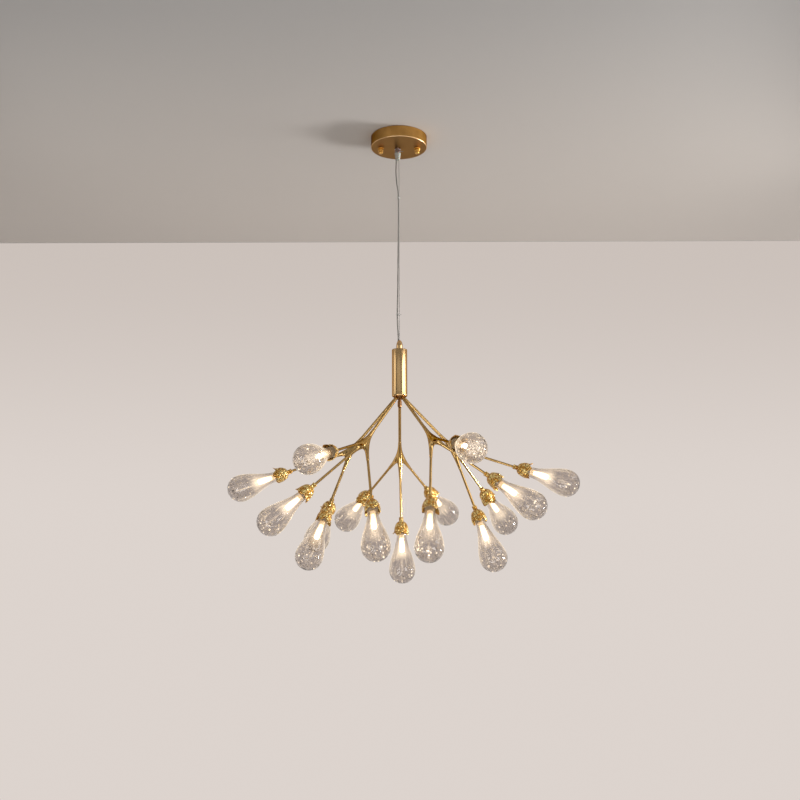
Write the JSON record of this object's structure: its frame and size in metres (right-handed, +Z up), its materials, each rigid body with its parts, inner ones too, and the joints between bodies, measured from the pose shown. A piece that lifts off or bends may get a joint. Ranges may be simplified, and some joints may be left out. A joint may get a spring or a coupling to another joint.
{
  "type": "branch chandelier",
  "caption": "Branch chandelier: a wire-hung brass tube with turned-out branches, each with a cast trident that ends in gold leaf cups with clear glass drops and small bulbs.",
  "frame": {"origin": "middle of the ceiling face of the crossbar, between the two ceiling screws", "axes": "+Z up into the ceiling, +X to the right along the crossbar, +Y to the rear; the lamp hangs down along -Z"},
  "size_m": [0.7256, 0.6789, 0.9442],
  "materials": {
    "crossbar_steel": "satin",
    "canopy_gold": "satin",
    "nut_brass": "polished",
    "gripper_chrome": "polished",
    "grip_plastic": "satin",
    "driver_plastic": "matte",
    "terminal_plastic": "matte",
    "clear_cord": "satin",
    "wire_steel": "satin",
    "clip_plastic": "satin",
    "tube_brass": "polished",
    "branch_brass": "satin",
    "leaf_gold": "hammered satin",
    "holder_plastic": "matte",
    "clear_glass": "polished",
    "bulb_warm": "frosted, lit"
  },
  "bodies": {
    "canopy": {"ceiling_bracket": "crossbar_steel", "canopy_cup": "canopy_gold", "cable_gripper": "gripper_chrome", "cord_grip": "grip_plastic", "lamp_driver": "driver_plastic", "terminal_block": "terminal_plastic", "cord_tail": "clear_cord"},
    "nut_left": {"cap_nut_left": "nut_brass"},
    "nut_right": {"cap_nut_right": "nut_brass"},
    "pendant": {"suspension_wire": "wire_steel", "power_cord": "clear_cord", "cord_clips": "clip_plastic", "top_nipple": "tube_brass", "centre_tube": "tube_brass", "branch_hub": "tube_brass"},
    "arm_1": {"branch_1": "branch_brass", "leaf_cups_1": "leaf_gold", "lamp_holders_1": "holder_plastic"},
    "arm_2": {"branch_2": "branch_brass", "leaf_cups_2": "leaf_gold", "lamp_holders_2": "holder_plastic"},
    "arm_3": {"branch_3": "branch_brass", "leaf_cups_3": "leaf_gold", "lamp_holders_3": "holder_plastic"},
    "arm_4": {"branch_4": "branch_brass", "leaf_cups_4": "leaf_gold", "lamp_holders_4": "holder_plastic"},
    "arm_5": {"branch_5": "branch_brass", "leaf_cups_5": "leaf_gold", "lamp_holders_5": "holder_plastic"},
    "shade_1a": {"glass_1a": "clear_glass"},
    "lamp_1a": {"bulb_1a": "bulb_warm"},
    "shade_1b": {"glass_1b": "clear_glass"},
    "lamp_1b": {"bulb_1b": "bulb_warm"},
    "shade_1c": {"glass_1c": "clear_glass"},
    "lamp_1c": {"bulb_1c": "bulb_warm"},
    "shade_2a": {"glass_2a": "clear_glass"},
    "lamp_2a": {"bulb_2a": "bulb_warm"},
    "shade_2b": {"glass_2b": "clear_glass"},
    "lamp_2b": {"bulb_2b": "bulb_warm"},
    "shade_2c": {"glass_2c": "clear_glass"},
    "lamp_2c": {"bulb_2c": "bulb_warm"},
    "shade_3a": {"glass_3a": "clear_glass"},
    "lamp_3a": {"bulb_3a": "bulb_warm"},
    "shade_3b": {"glass_3b": "clear_glass"},
    "lamp_3b": {"bulb_3b": "bulb_warm"},
    "shade_3c": {"glass_3c": "clear_glass"},
    "lamp_3c": {"bulb_3c": "bulb_warm"},
    "shade_4a": {"glass_4a": "clear_glass"},
    "lamp_4a": {"bulb_4a": "bulb_warm"},
    "shade_4b": {"glass_4b": "clear_glass"},
    "lamp_4b": {"bulb_4b": "bulb_warm"},
    "shade_4c": {"glass_4c": "clear_glass"},
    "lamp_4c": {"bulb_4c": "bulb_warm"},
    "shade_5a": {"glass_5a": "clear_glass"},
    "lamp_5a": {"bulb_5a": "bulb_warm"},
    "shade_5b": {"glass_5b": "clear_glass"},
    "lamp_5b": {"bulb_5b": "bulb_warm"},
    "shade_5c": {"glass_5c": "clear_glass"},
    "lamp_5c": {"bulb_5c": "bulb_warm"}
  },
  "joints": [
    {"name": "pendant_sway", "type": "hinge", "parent": "canopy", "child": "pendant", "pos_m": [0, 0, -0.053], "axis": [0, 1, 0], "range_deg": [-6, 6]},
    {"name": "nut_left_unscrew", "type": "slide", "parent": "canopy", "child": "nut_left", "axis": [0, 0, -1], "range_m": [0, 0.011]},
    {"name": "nut_right_unscrew", "type": "slide", "parent": "canopy", "child": "nut_right", "axis": [0, 0, -1], "range_m": [0, 0.011]},
    {"name": "branch_1_turn", "type": "hinge", "parent": "pendant", "child": "arm_1", "pos_m": [0, 0, -0.568], "axis": [0, 0.7009, -0.7133], "range_deg": [-10, 10]},
    {"name": "branch_2_turn", "type": "hinge", "parent": "pendant", "child": "arm_2", "pos_m": [0, 0, -0.568], "axis": [-0.6489, 0.2298, -0.7254], "range_deg": [-10, 10]},
    {"name": "branch_3_turn", "type": "hinge", "parent": "pendant", "child": "arm_3", "pos_m": [0, 0, -0.568], "axis": [-0.4297, -0.5213, -0.7373], "range_deg": [-10, 10]},
    {"name": "branch_4_turn", "type": "hinge", "parent": "pendant", "child": "arm_4", "pos_m": [0, 0, -0.568], "axis": [0.3988, -0.5913, -0.7009], "range_deg": [-10, 10]},
    {"name": "branch_5_turn", "type": "hinge", "parent": "pendant", "child": "arm_5", "pos_m": [0, 0, -0.568], "axis": [0.6948, 0.1862, -0.6947], "range_deg": [-10, 10]},
    {"name": "glass_1a_pull", "type": "slide", "parent": "arm_1", "child": "shade_1a", "axis": [0.0182, 0.2252, -0.9741], "range_m": [0, 0.07]},
    {"name": "bulb_1a_pull", "type": "slide", "parent": "arm_1", "child": "lamp_1a", "axis": [0.0182, 0.2252, -0.9741], "range_m": [0, 0.012]},
    {"name": "glass_1b_pull", "type": "slide", "parent": "arm_1", "child": "shade_1b", "axis": [0.4332, 0.806, -0.4034], "range_m": [0, 0.07]},
    {"name": "bulb_1b_pull", "type": "slide", "parent": "arm_1", "child": "lamp_1b", "axis": [0.4332, 0.806, -0.4034], "range_m": [0, 0.012]},
    {"name": "glass_1c_pull", "type": "slide", "parent": "arm_1", "child": "shade_1c", "axis": [-0.4913, 0.736, -0.4657], "range_m": [0, 0.07]},
    {"name": "bulb_1c_pull", "type": "slide", "parent": "arm_1", "child": "lamp_1c", "axis": [-0.4913, 0.736, -0.4657], "range_m": [0, 0.012]},
    {"name": "glass_2a_pull", "type": "slide", "parent": "arm_2", "child": "shade_2a", "axis": [-0.9441, 0.137, -0.2999], "range_m": [0, 0.07]},
    {"name": "bulb_2a_pull", "type": "slide", "parent": "arm_2", "child": "lamp_2a", "axis": [-0.9441, 0.137, -0.2999], "range_m": [0, 0.012]},
    {"name": "glass_2b_pull", "type": "slide", "parent": "arm_2", "child": "shade_2b", "axis": [-0.3268, -0.2419, -0.9136], "range_m": [0, 0.07]},
    {"name": "bulb_2b_pull", "type": "slide", "parent": "arm_2", "child": "lamp_2b", "axis": [-0.3268, -0.2419, -0.9136], "range_m": [0, 0.012]},
    {"name": "glass_2c_pull", "type": "slide", "parent": "arm_2", "child": "shade_2c", "axis": [-0.3285, 0.6552, -0.6803], "range_m": [0, 0.07]},
    {"name": "bulb_2c_pull", "type": "slide", "parent": "arm_2", "child": "lamp_2c", "axis": [-0.3285, 0.6552, -0.6803], "range_m": [0, 0.012]},
    {"name": "glass_3a_pull", "type": "slide", "parent": "arm_3", "child": "shade_3a", "axis": [-0.3987, -0.8672, -0.2984], "range_m": [0, 0.07]},
    {"name": "bulb_3a_pull", "type": "slide", "parent": "arm_3", "child": "lamp_3a", "axis": [-0.3987, -0.8672, -0.2984], "range_m": [0, 0.012]},
    {"name": "glass_3b_pull", "type": "slide", "parent": "arm_3", "child": "shade_3b", "axis": [0.0901, -0.4318, -0.8975], "range_m": [0, 0.07]},
    {"name": "bulb_3b_pull", "type": "slide", "parent": "arm_3", "child": "lamp_3b", "axis": [0.0901, -0.4318, -0.8975], "range_m": [0, 0.012]},
    {"name": "glass_3c_pull", "type": "slide", "parent": "arm_3", "child": "shade_3c", "axis": [-0.749, -0.0579, -0.66], "range_m": [0, 0.07]},
    {"name": "bulb_3c_pull", "type": "slide", "parent": "arm_3", "child": "lamp_3c", "axis": [-0.749, -0.0579, -0.66], "range_m": [0, 0.012]},
    {"name": "glass_4a_pull", "type": "slide", "parent": "arm_4", "child": "shade_4a", "axis": [0.2719, -0.9265, -0.2602], "range_m": [0, 0.07]},
    {"name": "bulb_4a_pull", "type": "slide", "parent": "arm_4", "child": "lamp_4a", "axis": [0.2719, -0.9265, -0.2602], "range_m": [0, 0.012]},
    {"name": "glass_4b_pull", "type": "slide", "parent": "arm_4", "child": "shade_4b", "axis": [0.7785, -0.22, -0.5879], "range_m": [0, 0.07]},
    {"name": "bulb_4b_pull", "type": "slide", "parent": "arm_4", "child": "lamp_4b", "axis": [0.7785, -0.22, -0.5879], "range_m": [0, 0.012]},
    {"name": "glass_4c_pull", "type": "slide", "parent": "arm_4", "child": "shade_4c", "axis": [-0.0318, -0.3709, -0.9281], "range_m": [0, 0.07]},
    {"name": "bulb_4c_pull", "type": "slide", "parent": "arm_4", "child": "lamp_4c", "axis": [-0.0318, -0.3709, -0.9281], "range_m": [0, 0.012]},
    {"name": "glass_5a_pull", "type": "slide", "parent": "arm_5", "child": "shade_5a", "axis": [0.9467, -0.0615, -0.3162], "range_m": [0, 0.07]},
    {"name": "bulb_5a_pull", "type": "slide", "parent": "arm_5", "child": "lamp_5a", "axis": [0.9467, -0.0615, -0.3162], "range_m": [0, 0.012]},
    {"name": "glass_5b_pull", "type": "slide", "parent": "arm_5", "child": "shade_5b", "axis": [0.4946, 0.6705, -0.553], "range_m": [0, 0.07]},
    {"name": "bulb_5b_pull", "type": "slide", "parent": "arm_5", "child": "lamp_5b", "axis": [0.4946, 0.6705, -0.553], "range_m": [0, 0.012]},
    {"name": "glass_5c_pull", "type": "slide", "parent": "arm_5", "child": "shade_5c", "axis": [0.3257, -0.0967, -0.9405], "range_m": [0, 0.07]},
    {"name": "bulb_5c_pull", "type": "slide", "parent": "arm_5", "child": "lamp_5c", "axis": [0.3257, -0.0967, -0.9405], "range_m": [0, 0.012]}
  ]
}
